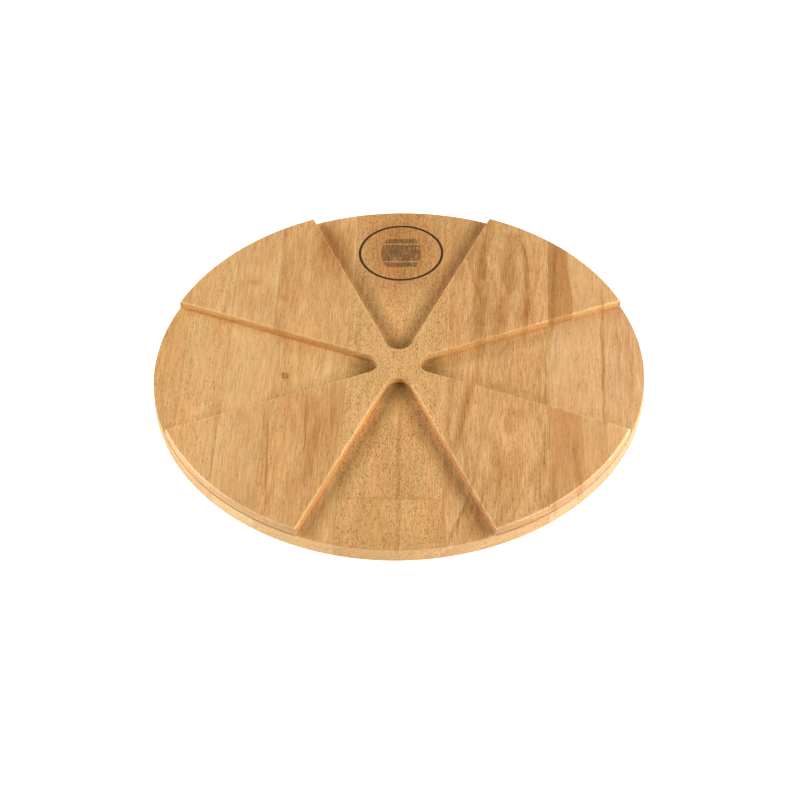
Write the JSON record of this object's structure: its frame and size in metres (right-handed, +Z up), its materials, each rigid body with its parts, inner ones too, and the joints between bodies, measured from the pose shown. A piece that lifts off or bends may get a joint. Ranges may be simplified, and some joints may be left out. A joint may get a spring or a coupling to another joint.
{
  "type": "drum sound plate",
  "caption": "Round wooden plate with wedge-shaped recesses that open at the rim, set under a tall hand drum to carry it and let its bass out.",
  "frame": {"origin": "centre of the flat underside, on the surface that the plate lies on", "axes": "+Z up out of the recessed face, +Y along the grain towards the rear recess that carries the burned ring, +X to the right"},
  "size_m": [0.4, 0.4, 0.0195],
  "materials": {
    "stave_1_left_edge_wood": "clear satin lacquer over open-pored light hardwood",
    "stave_2_left_wood": "clear satin lacquer over open-pored light hardwood",
    "stave_3_left_wood": "clear satin lacquer over open-pored light hardwood",
    "stave_4_left_middle_wood": "clear satin lacquer over open-pored light hardwood",
    "stave_5_centre_wood": "clear satin lacquer over open-pored light hardwood",
    "stave_5_centre_front_wood": "clear satin lacquer over open-pored light hardwood",
    "stave_6_right_middle_wood": "clear satin lacquer over open-pored light hardwood",
    "stave_7_right_wood": "clear satin lacquer over open-pored light hardwood",
    "stave_8_right_edge_wood": "clear satin lacquer over open-pored light hardwood"
  },
  "bodies": {
    "root": {"stave_1_left_edge": "stave_1_left_edge_wood", "stave_2_left": "stave_2_left_wood", "stave_3_left": "stave_3_left_wood", "stave_4_left_middle": "stave_4_left_middle_wood", "stave_5_centre": "stave_5_centre_wood", "stave_5_centre_front": "stave_5_centre_front_wood", "stave_6_right_middle": "stave_6_right_middle_wood", "stave_7_right": "stave_7_right_wood", "stave_8_right_edge": "stave_8_right_edge_wood"}
  },
  "joints": []
}
